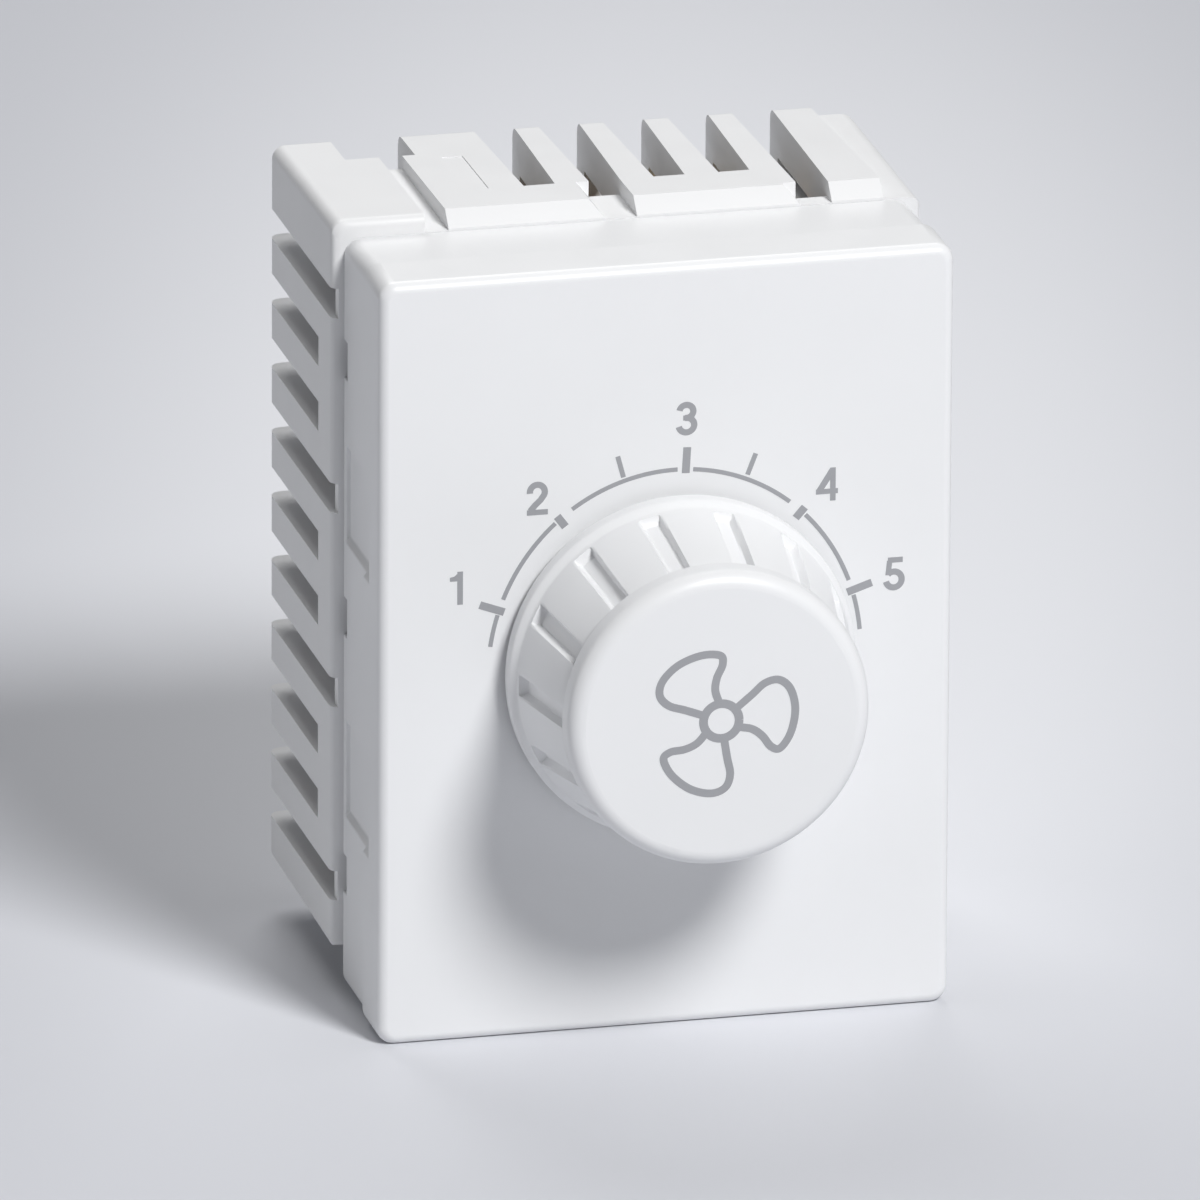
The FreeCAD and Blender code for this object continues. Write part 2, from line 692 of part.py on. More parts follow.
def build_threaded_bushing():
    bush = rod(KNOB_X, KNOB_Z, BUSHING_R, BUSHING_FRONT, COLLAR_FRONT)
    return bush.cut(rod(KNOB_X, KNOB_Z, SHAFT_R + RUNNING_CLEARANCE, 0, FAR))


def build_bushing_nut():
    reach = NUT_FLATS / math.sqrt(3)
    points = []
    for k in range(6):
        a = math.radians(60 * k)
        points.append(V(KNOB_X + reach * math.cos(a), NUT_FRONT, KNOB_Z + reach * math.sin(a)))
    hexagon = Part.Face(Part.makePolygon(points + points[:1])).extrude(V(0, NUT_T, 0))
    crown = turned(
        (
            (0, NUT_FRONT),
            (NUT_FLATS / 2, NUT_FRONT),
            (reach, NUT_FRONT + (reach - NUT_FLATS / 2) * math.tan(math.radians(30))),
            (reach, WASHER_FRONT),
            (0, WASHER_FRONT),
        )
    )
    return hexagon.common(crown).cut(rod(KNOB_X, KNOB_Z, BUSHING_R + SEAT_CLEARANCE, 0, FAR))


def build_bushing_washer():
    disc = rod(KNOB_X, KNOB_Z, WASHER_R, WASHER_FRONT, HEAT_PLATE_FRONT)
    return disc.cut(rod(KNOB_X, KNOB_Z, BUSHING_R + SEAT_CLEARANCE, 0, FAR))


def build_heat_sink_plate():
    x = PLATE_IN_X - HEAT_PLATE_CLEARANCE
    z = PLATE_IN_Z - HEAT_PLATE_CLEARANCE
    sheet = Part.Face(rounded_rect(-x, x, -z, z, FACE_CORNER_R / 2, HEAT_PLATE_FRONT))
    sheet = sheet.extrude(V(0, HEAT_PLATE_T, 0))
    holes = [
        rod(KNOB_X, KNOB_Z, BUSHING_R + SEAT_CLEARANCE, 0, FAR),
        rod(TRIAC_X, TRIAC_Z + TRIAC_HOLE_RISE, TRIAC_SCREW_R + SEAT_CLEARANCE, 0, FAR),
    ]
    return sheet.cut(holes)


def build_control_case():
    cup = rod(KNOB_X, KNOB_Z, CASE_R, COLLAR_FRONT, CASE_REAR)
    inside = rod(KNOB_X, KNOB_Z, CASE_R - CASE_WALL, COLLAR_FRONT + CASE_FRONT_T, FAR)
    return cup.cut([inside, rod(KNOB_X, KNOB_Z, SHAFT_R + RUNNING_CLEARANCE, 0, FAR)])


def build_track_wafer():
    return rod(KNOB_X, KNOB_Z, CASE_R - CASE_WALL - SEAT_CLEARANCE, WAFER_FRONT, CASE_REAR)


def control_pin_places():
    return [(KNOB_X + k * PIN_SPACING, KNOB_Z - PIN_DROP) for k in (-1, 0, 1)]


def build_control_pins():
    pins = [rod(x, z, PIN_R, CASE_REAR, BOARD_REAR + LEAD_STUB) for x, z in control_pin_places()]
    return Part.makeCompound(pins)


def triac_lead_places():
    return [(TRIAC_X + k * TRIAC_LEAD_PITCH, TRIAC_LEAD_Z) for k in (-1, 0, 1)]


def cap_lead_places(x, z, pitch):
    return [(x - pitch / 2, z), (x + pitch / 2, z)]


def axial_lead_places():
    places = []
    for z in RESISTOR_ZS:
        places += cap_lead_places(AXIAL_X, z, RESISTOR_PITCH)
    return places + cap_lead_places(AXIAL_X, DIAC_Z, DIAC_PITCH)


def build_circuit_board():
    board = box(-BOARD_X, BOARD_X, BOARD_FRONT, BOARD_REAR, BOARD_BOTTOM, BOARD_TOP)
    lead_places = triac_lead_places() + axial_lead_places()
    lead_places += cap_lead_places(BIG_CAP_X, BIG_CAP_Z, BIG_CAP_PITCH)
    lead_places += cap_lead_places(SMALL_CAP_X, SMALL_CAP_Z, SMALL_CAP_PITCH)
    holes = [rod(x, z, LEAD_R + LEAD_HOLE_CLEARANCE, 0, FAR) for x, z in lead_places]
    holes += [rod(x, z, PIN_R + LEAD_HOLE_CLEARANCE, 0, FAR) for x, z in control_pin_places()]
    return board.cut(holes)


def build_triac():
    low = TRIAC_Z - TRIAC_H / 2
    rear = COLLAR_FRONT + TRIAC_T
    case = box(TRIAC_X - TRIAC_W / 2, TRIAC_X + TRIAC_W / 2, COLLAR_FRONT, rear, low, low + TRIAC_H)
    case = case.makeFillet(CAP_CASE_EDGE, edges_on_y(case, rear))
    hole = rod(TRIAC_X, TRIAC_Z + TRIAC_HOLE_RISE, TRIAC_SCREW_R + LEAD_HOLE_CLEARANCE, 0, FAR)
    pieces = [case.cut(hole)]
    level = COLLAR_FRONT + TRIAC_T / 2
    for x, z in triac_lead_places():
        pieces.append(Part.makeCylinder(LEAD_R, low - z, V(x, level, z), V(0, 0, 1)))
        pieces.append(Part.makeSphere(LEAD_R, V(x, level, z)))
        pieces.append(rod(x, z, LEAD_R, level, BOARD_REAR + LEAD_STUB))
    return fused(pieces)


def build_triac_screw():
    x = TRIAC_X
    z = TRIAC_Z + TRIAC_HOLE_RISE
    seat = COLLAR_FRONT + TRIAC_T
    shank = rod(x, z, TRIAC_SCREW_R, HEAT_PLATE_FRONT, seat)
    head = rod(x, z, TRIAC_HEAD_R, seat, seat + TRIAC_HEAD_T)
    head = head.makeFillet(TRIAC_HEAD_T / 2, edges_on_y(head, seat + TRIAC_HEAD_T))
    return shank.fuse(head)


def ring_section(inner, outer, y0, y1):
    """Rectangle of a ring about the choke's own axis, before it is revolved."""
    points = [
        V(CHOKE_X + inner, y0, CHOKE_Z),
        V(CHOKE_X + outer, y0, CHOKE_Z),
        V(CHOKE_X + outer, y1, CHOKE_Z),
        V(CHOKE_X + inner, y1, CHOKE_Z),
    ]
    return Part.Face(Part.makePolygon(points + points[:1]))


def build_choke():
    """Toroid core and the wound sleeve round it, standing on the board's rear side."""
    axis_at = V(CHOKE_X, 0, CHOKE_Z)
    front = BOARD_REAR + WINDING_T + SEAT_CLEARANCE
    rear = front + CHOKE_T
    core = ring_section(CHOKE_INNER_R, CHOKE_OUTER_R, front, rear)
    core = core.revolve(axis_at, V(0, 1, 0), 360)
    grow = WINDING_T + SEAT_CLEARANCE
    sleeve = ring_section(CHOKE_INNER_R - grow, CHOKE_OUTER_R + grow, front - grow, rear + grow)
    gap = SEAT_CLEARANCE
    room = ring_section(CHOKE_INNER_R - gap, CHOKE_OUTER_R + gap, front - gap, rear + gap)
    winding = sleeve.cut(room).revolve(axis_at, V(0, 1, 0), WINDING_ANGLE)
    return core, winding


def build_box_capacitor(x, z, size, pitch):
    """Moulded box standing on the board's rear side, with two leads through the board."""
    width, depth, height = size
    x_range = (x - width / 2, x + width / 2)
    case = box(*x_range, BOARD_REAR, BOARD_REAR + depth, z - height / 2, z + height / 2)
    case = case.makeFillet(CAP_CASE_EDGE, edges_on_y(case, BOARD_REAR + depth))
    pieces = [case]
    for lead_x, lead_z in cap_lead_places(x, z, pitch):
        pieces.append(rod(lead_x, lead_z, LEAD_R, BOARD_FRONT - LEAD_STUB, BOARD_REAR))
    return fused(pieces)


def build_axial_part(x, z, radius, length, pitch):
    """Round body lying on the board's front side, with bent leads through the board."""
    y = BOARD_FRONT - radius
    body = Part.makeCylinder(radius, length, V(x - length / 2, y, z), V(1, 0, 0))
    body = body.makeFillet(radius / 3, [e for e in body.Edges if e.Curve.TypeId == "Part::GeomCircle"])
    pieces = [body]
    wire = Part.makeCylinder(LEAD_R, pitch, V(x - pitch / 2, y, z), V(1, 0, 0))
    pieces.append(wire)
    for lead_x, lead_z in cap_lead_places(x, z, pitch):
        pieces.append(Part.makeSphere(LEAD_R, V(lead_x, y, lead_z)))
        pieces.append(rod(lead_x, lead_z, LEAD_R, y, BOARD_REAR + LEAD_STUB))
    return fused(pieces)


def build_terminal_bars():
    """Folded clamp frames on the board's rear side, one behind each wire hole."""
    floor = WIRE_HOLE_Z - WIRE_HOLE_R + SEAT_CLEARANCE
    roof = WIRE_HOLE_Z + WIRE_HOLE_R + CLAMP_HEADROOM
    rear = CAVITY_REAR - CLAMP_REAR_GAP
    outline = (
        (BOARD_REAR, floor - CLAMP_T),
        (rear, floor - CLAMP_T),
        (rear, floor),
        (BOARD_REAR + CLAMP_T, floor),
        (BOARD_REAR + CLAMP_T, roof),
        (rear, roof),
        (rear, roof + CLAMP_T),
        (BOARD_REAR, roof + CLAMP_T),
    )
    bars = []
    for side in (-1, 1):
        x = side * WIRE_HOLE_X
        bars.append(side_prism(outline, x - CLAMP_W / 2, x + CLAMP_W / 2))
    return Part.makeCompound(bars)


def build_clamp_springs():
    """Bent leaf under the roof of each clamp frame, its tongue leaning on the wire's way in."""
    roof = WIRE_HOLE_Z + WIRE_HOLE_R + CLAMP_HEADROOM - SEAT_CLEARANCE
    floor = WIRE_HOLE_Z - WIRE_HOLE_R + MOVING_GAP
    front = BOARD_REAR + CLAMP_T + SEAT_CLEARANCE
    rear = CAVITY_REAR - CLAMP_REAR_GAP
    t = CLAMP_SPRING_T
    outline = (
        (front, roof),
        (rear, roof),
        (rear, roof - 2 * t),
        (front + 3 * t, floor),
        (front + 2 * t, floor),
        (rear - 2 * t, roof - 2 * t),
        (rear - 2 * t, roof - t),
        (front, roof - t),
    )
    leaves = []
    for side in (-1, 1):
        x = side * WIRE_HOLE_X
        leaves.append(side_prism(outline, x - CLAMP_SPRING_W / 2, x + CLAMP_SPRING_W / 2))
    return Part.makeCompound(leaves)


def build_all():
    core, winding = build_choke()
    resistors = []
    for z in RESISTOR_ZS:
        resistors.append(build_axial_part(AXIAL_X, z, RESISTOR_R, RESISTOR_LEN, RESISTOR_PITCH))
    return {
        "front_plate": build_front_plate(),
        "rear_housing": build_rear_housing(),
        "knob_body": build_knob_body(),
        "knob_cap": build_knob_cap(),
        "knob_spring": build_knob_spring(),
        "control_shaft": build_control_shaft(),
        "wiper_carrier": build_wiper_carrier(),
        "wiper_contact": build_wiper_contact(),
        "threaded_bushing": build_threaded_bushing(),
        "bushing_nut": build_bushing_nut(),
        "bushing_washer": build_bushing_washer(),
        "heat_sink_plate": build_heat_sink_plate(),
        "control_case": build_control_case(),
        "track_wafer": build_track_wafer(),
        "control_pins": build_control_pins(),
        "circuit_board": build_circuit_board(),
        "triac": build_triac(),
        "triac_screw": build_triac_screw(),
        "choke_core": core,
        "choke_winding": winding,
        "filter_capacitor": build_box_capacitor(BIG_CAP_X, BIG_CAP_Z, BIG_CAP_SIZE, BIG_CAP_PITCH),
        "timing_capacitor": build_box_capacitor(
            SMALL_CAP_X, SMALL_CAP_Z, SMALL_CAP_SIZE, SMALL_CAP_PITCH
        ),
        "resistors": Part.makeCompound(resistors),
        "diac": build_axial_part(AXIAL_X, DIAC_Z, DIAC_R, DIAC_LEN, DIAC_PITCH),
        "terminal_bars": build_terminal_bars(),
        "clamp_springs": build_clamp_springs(),
    }


os.makedirs("parts", exist_ok=True)
for node, shape in build_all().items():
    shape.exportStep("parts/" + node + ".step")
    print(node, len(shape.Solids), shape.isValid(), round(shape.Volume, 2))
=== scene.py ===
"""Looks of the fan speed control: plastic finishes, printed scale, fan sign, studio and camera."""

import json
import math

import bmesh
import bpy
from mathutils import Matrix, Vector
from mathutils.geometry import delaunay_2d_cdt


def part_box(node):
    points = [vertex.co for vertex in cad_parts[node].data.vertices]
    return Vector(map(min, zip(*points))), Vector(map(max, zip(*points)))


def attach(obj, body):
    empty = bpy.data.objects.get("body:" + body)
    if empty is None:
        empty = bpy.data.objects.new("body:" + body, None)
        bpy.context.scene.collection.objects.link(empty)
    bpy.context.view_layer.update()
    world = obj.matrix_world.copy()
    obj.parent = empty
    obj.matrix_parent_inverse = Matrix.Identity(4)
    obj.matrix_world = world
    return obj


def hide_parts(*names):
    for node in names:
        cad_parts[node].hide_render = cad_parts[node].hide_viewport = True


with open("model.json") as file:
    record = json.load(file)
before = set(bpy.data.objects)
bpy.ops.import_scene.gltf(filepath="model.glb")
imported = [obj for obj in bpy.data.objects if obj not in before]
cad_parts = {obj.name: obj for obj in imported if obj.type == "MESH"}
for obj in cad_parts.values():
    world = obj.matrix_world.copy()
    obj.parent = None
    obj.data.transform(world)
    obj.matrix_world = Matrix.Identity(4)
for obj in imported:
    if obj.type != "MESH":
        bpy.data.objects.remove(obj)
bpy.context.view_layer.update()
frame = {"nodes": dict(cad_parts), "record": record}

MM = 0.001
CASE = "case"
KNOB = "knob"
JOINT = frame["record"]["behaviour"]["joints"][0]
AXIS_X, _, AXIS_Z = JOINT["pos_m"]
FACE_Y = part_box("front_plate")[0][1]
CAP_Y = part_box("knob_cap")[0][1]
FLOOR_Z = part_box("front_plate")[0][2]

# Photograph's camera: angles in degrees, lengths in millimetres, focal length in pixels of a 1200 frame
VIEW_AZIMUTH = -13.80
VIEW_ELEVATION = 19.06
VIEW_ROLL = 0.29
VIEW_FOCAL_PX = 27873.0
VIEW_FRAME_PX = 1200.0
VIEW_DISTANCE = 1557.8
VIEW_TARGET = (-3.83, 0.0, 3.06)
SENSOR_MM = 36.0
CAMERA_REACH_M = 20.0

# Printed scale on the face, millimetres and degrees clockwise from straight up
PRINT_T = 0.012
SCALE_TILT = 1.5
SCALE_SHIFT = -0.12
ARC_RX = 10.73
ARC_RZ = 11.33
ARC_STROKE = 0.25
ARC_END = 83.0
ARC_STEP = 2.0
ARC_LEAST_STEPS = 2
# Straight up as the arcs count it, anticlockwise from +X
STRAIGHT_UP = 90
# Angles of the ticks at 3, at 1 and 5, at 2 and 4, and halfway beside 3
TOP_TICKS = (1.5,)
END_TICKS = (-71.0, 70.0)
SHORT_TICKS = (-38.3, 39.6)
HALF_TICKS = (-16.6, 19.6)
# Ticks as inner radius, outer radius and stroke
TOP_TICK = (11.1, 12.62, 0.45)
END_TICK = (10.48, 11.98, 0.45)
SHORT_TICK = (10.55, 11.35, 0.46)
HALF_TICK = (11.5, 12.8, 0.28)
# Degrees of the arc left open to each side of a tick
MAIN_GAP = 2.4
SHORT_GAP = 3.2
# Filling of outlines: kind of result with triangles inside only, and the distance at which points are one
FILL_INSIDE = 1
FILL_MERGE = 1e-4

# Numbers of the scale: place as radius and angle, shape in millimetres about each number's centre
DIGIT_PLACES = {
    "1": (13.74, -67.4),
    "2": (13.02, -38.2),
    "3": (14.30, 2.0),
    "4": (13.04, 41.3),
    "5": (13.21, 71.4),
}
DIGIT_HALF_H = 0.975
DIGIT_STROKE = 0.36
DIGIT_ARC_STEP = 12.0

# Fan sign on the cap, millimetres from its hub: one blade's outline, from the hub and back to it
SIGN_STROKE = 0.45
SIGN_HUB_R = 1.02
SIGN_HUB_STROKE = 0.5
SIGN_ARC_STEP = 6.0
SIGN_BLADES = 3
BLADE_POINTS = (
    (0.80, 0.64),
    (1.75, 1.42),
    (2.5, 2.05),
    (3.3, 2.18),
    (3.95, 1.6),
    (4.24, 0.4),
    (4.0, -0.95),
    (3.4, -1.85),
    (2.86, -1.72),
    (2.35, -1.05),
    (1.75, -0.6),
    (0.95, -0.42),
)
CURVE_STEPS = 8

# Knob body, millimetres: the solid's main sizes, with a softer shoulder and softer flutes
SKIRT_LEN = 1.2
SHOULDER = 0.3
SHOULDER_STEPS = 8
BASE_R = 9.6
NECK_R = 8.4
SPIGOT_R = 6.52
SPIGOT_LEN = 0.9
KNOB_WALL = 1.7
HUB_R = 4.4
BORE_R = 3.02
BORE_ROOF = 0.2
KNOB_EDGE_ROUND = 0.15
FLUTES = 14
FLUTE_STEPS = 48
FLUTE_ROWS = 56
FLUTE_DEPTH = 0.5
FLUTE_HALF_W = 0.66
FLUTE_WALL = 0.2
FLUTE_MARGIN = 0.1

# Edge rounding of the mouldings, millimetres
EDGE_ROUND = 0.16
EDGE_SEGMENTS = 3
EDGE_ANGLE = math.radians(32)
FLAT_ANGLE = math.radians(0.4)
FLAT_WEIGHT = 100
WELD = 0.002

# Noise in the finishes: scale and detail, span of the noise that is used, grain height in millimetres
DRIFT_NOISE = (90.0, 3.0)
GLOSS_NOISE = (420.0, 2.0)
GRAIN_DETAIL = 2.0
NOISE_LOW = 0.3
NOISE_HIGH = 0.7
GRAIN_HEIGHT = 0.004
SPECULAR = 0.5

# Finish of each slot: colour, share of it in darker patches, roughness from and to, grain, bump, metallic
FINISHES = {
    "white_gloss": ((0.84, 0.845, 0.855), 0.985, (0.36, 0.40), 1500.0, 0.12, 0.0),
    "white_satin": ((0.80, 0.803, 0.81), 0.98, (0.46, 0.54), 1500.0, 0.25, 0.0),
    "spring_steel": ((0.55, 0.55, 0.56), 0.85, (0.22, 0.36), 900.0, 0.15, 1.0),
    "shaft_metal": ((0.74, 0.74, 0.75), 0.9, (0.28, 0.4), 1500.0, 0.2, 1.0),
    "plated_steel": ((0.66, 0.66, 0.63), 0.88, (0.25, 0.42), 1100.0, 0.18, 1.0),
    "aluminium_sheet": ((0.7, 0.71, 0.72), 0.92, (0.32, 0.46), 1300.0, 0.2, 1.0),
    "brass_contact": ((0.56, 0.42, 0.19), 0.82, (0.38, 0.5), 1000.0, 0.15, 1.0),
    "brown_laminate": ((0.42, 0.27, 0.13), 0.8, (0.5, 0.65), 1800.0, 0.3, 0.0),
    "dark_moulding": ((0.05, 0.05, 0.055), 0.8, (0.45, 0.6), 2400.0, 0.3, 0.0),
    "ferrite": ((0.16, 0.16, 0.17), 0.8, (0.55, 0.7), 1900.0, 0.35, 0.0),
    "enamelled_copper": ((0.58, 0.22, 0.08), 0.75, (0.2, 0.34), 800.0, 0.2, 0.8),
    "grey_moulding": ((0.42, 0.44, 0.47), 0.92, (0.4, 0.52), 2000.0, 0.2, 0.0),
    "red_moulding": ((0.45, 0.1, 0.07), 0.85, (0.3, 0.42), 1200.0, 0.15, 0.0),
    "beige_coating": ((0.68, 0.55, 0.36), 0.88, (0.35, 0.48), 1400.0, 0.2, 0.0),
    "blue_coating": ((0.12, 0.26, 0.5), 0.85, (0.3, 0.42), 1400.0, 0.15, 0.0),
}
PRINT_FINISH = ((0.36, 0.365, 0.385), 0.94, (0.42, 0.55), 3000.0, 0.25, 0.0)

# Studio, metres and watts: floor with a painted pool of light that fades from its centre into painted
# shade at its edges, lamps and a dim even sky
FLOOR_HALF = 3.0
FLOOR_ROUGHNESS = 0.55
FLOOR_SPECULAR = 0.25
# Painted light and shade in the floor's colour: pale where a pool of light would fall, darker towards the
# edges, not the floor's own tone
FLOOR_PAINTED_LIGHT = (0.81, 0.82, 0.855)
FLOOR_PAINTED_SHADE = (0.595, 0.605, 0.645)
PAINTED_LIGHT_CENTRE = (0.023, 0.090, 0.0)
PAINTED_LIGHT_SIZE = (0.044, 0.140, 0.140)
PAINTED_LIGHT_FADE = (0.35, 1.25)
# Each lamp: name, place, aim, diameter, power
LAMPS = (
    ("key", (0.178, -0.450, 0.478), (0, 0, 0), 0.20, 4.25),
    ("top", (0.0, 0.38, 0.43), (0, 0.01, 0), 0.35, 1.30),
    ("left_fill", (-0.60, 0.10, 0.16), (0, 0.01, 0), 0.40, 0.47),
)
SKY_COLOUR = (0.90, 0.915, 0.94)
SKY_STRENGTH = 0.10


def link(obj):
    bpy.context.scene.collection.objects.link(obj)
    return obj


def ease(share):
    """Smooth step from 0 to 1."""
    return share * share * (3 - 2 * share)


def new_material(name):
    material = bpy.data.materials.new(name)
    material.use_nodes = True
    nodes = material.node_tree.nodes
    shader = nodes["Principled BSDF"]
    return material, nodes, material.node_tree.links, shader


def add_noise(nodes, links, scale, detail):
    coords = nodes.new("ShaderNodeTexCoord")
    noise = nodes.new("ShaderNodeTexNoise")
    noise.inputs["Scale"].default_value = scale
    noise.inputs["Detail"].default_value = detail
    links.new(coords.outputs["Object"], noise.inputs["Vector"])
    return noise.outputs["Fac"]


def add_range(nodes, links, source, low, high):
    spread = nodes.new("ShaderNodeMapRange")
    spread.inputs["From Min"].default_value = NOISE_LOW
    spread.inputs["From Max"].default_value = NOISE_HIGH
    spread.inputs["To Min"].default_value = low
    spread.inputs["To Max"].default_value = high
    links.new(source, spread.inputs["Value"])
    return spread.outputs["Result"]


def add_tint(nodes, links, source, dark, light):
    ramp = nodes.new("ShaderNodeValToRGB")
    ramp.color_ramp.elements[0].position = NOISE_LOW
    ramp.color_ramp.elements[1].position = NOISE_HIGH
    ramp.color_ramp.elements[0].color = (*dark, 1)
    ramp.color_ramp.elements[1].color = (*light, 1)
    links.new(source, ramp.inputs["Fac"])
    return ramp.outputs["Color"]


def surface(name, colour, shade, rough, grain, bump, metal):
    """Mouldings, lacquers and metals: slow colour drift, uneven gloss and a fine grain."""
    material, nodes, links, shader = new_material(name)
    shader.inputs["Metallic"].default_value = metal
    shader.inputs["Specular IOR Level"].default_value = SPECULAR
    drift = add_noise(nodes, links, *DRIFT_NOISE)
    dark = tuple(c * shade for c in colour)
    links.new(add_tint(nodes, links, drift, dark, colour), shader.inputs["Base Color"])
    gloss = add_noise(nodes, links, *GLOSS_NOISE)
    links.new(add_range(nodes, links, gloss, *rough), shader.inputs["Roughness"])
    fine = add_noise(nodes, links, grain, GRAIN_DETAIL)
    relief = nodes.new("ShaderNodeBump")
    relief.inputs["Strength"].default_value = bump
    relief.inputs["Distance"].default_value = GRAIN_HEIGHT * MM
    links.new(fine, relief.inputs["Height"])
    links.new(relief.outputs["Normal"], shader.inputs["Normal"])
    return material


MATERIALS = {slot: surface(slot, *finish) for slot, finish in FINISHES.items()}
PRINT = surface("grey_print", *PRINT_FINISH)
NODE_SLOT = {s["node"]: s["material_slot"] for s in frame["record"]["subparts"]}


def dress_nodes():
    for name, obj in frame["nodes"].items():
        obj.data.materials.clear()
        obj.data.materials.append(MATERIALS[NODE_SLOT[name]])


def finish_piece(mesh, node, body):
    """Dress a new mesh that stands for a node, and put it on the node's body."""
    mesh.materials.clear()
    mesh.materials.append(MATERIALS[NODE_SLOT[node]])
    piece = link(bpy.data.objects.new(node + "_moulding", mesh))
    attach(piece, body)
    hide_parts(node)


def rounded_copy(node, body):
    """The node's own shape with its moulded edges rounded a little."""
    source = frame["nodes"][node].data
    shape = bmesh.new()
    corners = [shape.verts.new(v.co) for v in source.vertices]
    for polygon in source.polygons:
        face = [corners[i] for i in polygon.vertices]
        if len(set(face)) > 2 and shape.faces.get(face) is None:
            shape.faces.new(face)
    bmesh.ops.remove_doubles(shape, verts=shape.verts, dist=WELD * MM)
    bmesh.ops.dissolve_limit(shape, angle_limit=FLAT_ANGLE, verts=shape.verts, edges=shape.edges)
    mesh = bpy.data.meshes.new(node + "_plain")
    shape.to_mesh(mesh)
    shape.free()
    mesh.polygons.foreach_set("use_smooth", [True] * len(mesh.polygons))
    raw = link(bpy.data.objects.new(node + "_plain", mesh))
    bevel = raw.modifiers.new("round", "BEVEL")
    bevel.width = EDGE_ROUND * MM
    bevel.segments = EDGE_SEGMENTS
    bevel.limit_method = "ANGLE"
    bevel.angle_limit = EDGE_ANGLE
    flat = raw.modifiers.new("flat_faces", "WEIGHTED_NORMAL")
    flat.mode = "FACE_AREA"
    flat.weight = FLAT_WEIGHT
    graph = bpy.context.evaluated_depsgraph_get()
    final = bpy.data.meshes.new_from_object(raw.evaluated_get(graph))
    bpy.data.objects.remove(raw)
    final.name = node + "_moulding"
    finish_piece(final, node, body)


def flute_depth(across, ahead):
    """How far a flute cuts in, from the distances to its middle line and to its rear end."""
    rise = min(FLUTE_HALF_W - abs(across), ahead) / FLUTE_WALL
    return FLUTE_DEPTH * ease(min(max(rise, 0.0), 1.0))


def knob_rings():
    """Section of the knob body as (radius, y, fluted) in millimetres, from the front to the shaft's hole.

    The y at which the fluted part ends comes with it.
    """
    low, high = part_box("knob_body")
    front = low[1] / MM
    rear = high[1] / MM
    outer = (high[0] - low[0]) / 2 / MM
    skirt = rear - SKIRT_LEN
    base = skirt - SHOULDER
    swell_len = 2 * SHOULDER
    roof = front + SPIGOT_LEN + KNOB_WALL
    hub_rear = rear - SKIRT_LEN / 2
    soft = KNOB_EDGE_ROUND
    rings = [(SPIGOT_R, front + SPIGOT_LEN, False), (SPIGOT_R, front, False)]
    for k in range(FLUTE_ROWS + 1):
        share = k / FLUTE_ROWS
        rings.append((NECK_R + (BASE_R - NECK_R) * share, front + (base - front) * share, True))
    for k in range(1, SHOULDER_STEPS + 1):
        share = k / SHOULDER_STEPS
        rings.append((BASE_R + (outer - BASE_R) * ease(share), base + swell_len * share, False))
    rings += [(outer, rear - soft, False), (outer - soft, rear, False)]
    rings += [(BASE_R - KNOB_WALL, rear, False), (BASE_R - KNOB_WALL, skirt, False)]
    roof_r = NECK_R + (BASE_R - NECK_R) * (roof - front) / (base - front) - KNOB_WALL
    rings += [(roof_r, roof, False), (HUB_R, roof, False), (HUB_R, hub_rear, False)]
    rings += [(BORE_R, hub_rear, False), (BORE_R, front + SPIGOT_LEN + BORE_ROOF, False)]
    return rings, base


def knob_moulding():
    """Fluted knob body as one closed mesh, in place of the plainer solid."""
    rings, base = knob_rings()
    count = FLUTES * FLUTE_STEPS
    shape = bmesh.new()
    loops = []
    for radius, y, fluted in rings:
        loop = []
        for i in range(count):
            angle = 2 * math.pi * i / count
            r = radius
            if fluted:
                offset = (i % FLUTE_STEPS) / FLUTE_STEPS - 0.5
                r -= flute_depth(offset * 2 * math.pi / FLUTES * radius, base - FLUTE_MARGIN - y)
            place = (AXIS_X + r * MM * math.sin(angle), y * MM, AXIS_Z + r * MM * math.cos(angle))
            loop.append(shape.verts.new(place))
        loops.append(loop)
    for a, b in zip(loops, loops[1:]):
        for i in range(count):
            j = (i + 1) % count
            shape.faces.new((a[i], a[j], b[j], b[i]))
    for loop in (loops[0], loops[-1]):
        shape.faces.new(loop)
    bmesh.ops.recalc_face_normals(shape, faces=shape.faces)
    mesh = bpy.data.meshes.new("knob_body_moulding")
    shape.to_mesh(mesh)
    shape.free()
    mesh.polygons.foreach_set("use_smooth", [True] * len(mesh.polygons))
    mesh.set_sharp_from_angle(angle=EDGE_ANGLE)
    finish_piece(mesh, "knob_body", KNOB)


def stroke(points, width):
    """Four-sided faces along a smooth line of (x, z) points, with square-cut ends."""
    line = [Vector(p) for p in points]
    last = len(line) - 1
    sides = []
    for i, point in enumerate(line):
        along = (line[min(i + 1, last)] - line[max(i - 1, 0)]).normalized()
        across = Vector((-along.y, along.x)) * width / 2
        sides.append((point - across, point + across))
    faces = []
    for (low_a, high_a), (low_b, high_b) in zip(sides, sides[1:]):
        faces.append((low_a, low_b, high_b, high_a))
    return faces


def arc(cx, cz, rx, rz, start, end, step):
    """Points of an elliptical arc, angles in degrees anticlockwise from +X."""
    count = max(ARC_LEAST_STEPS, round(abs(end - start) / step))
    angles = [math.radians(start + (end - start) * k / count) for k in range(count + 1)]
    return [(cx + rx * math.cos(a), cz + rz * math.sin(a)) for a in angles]


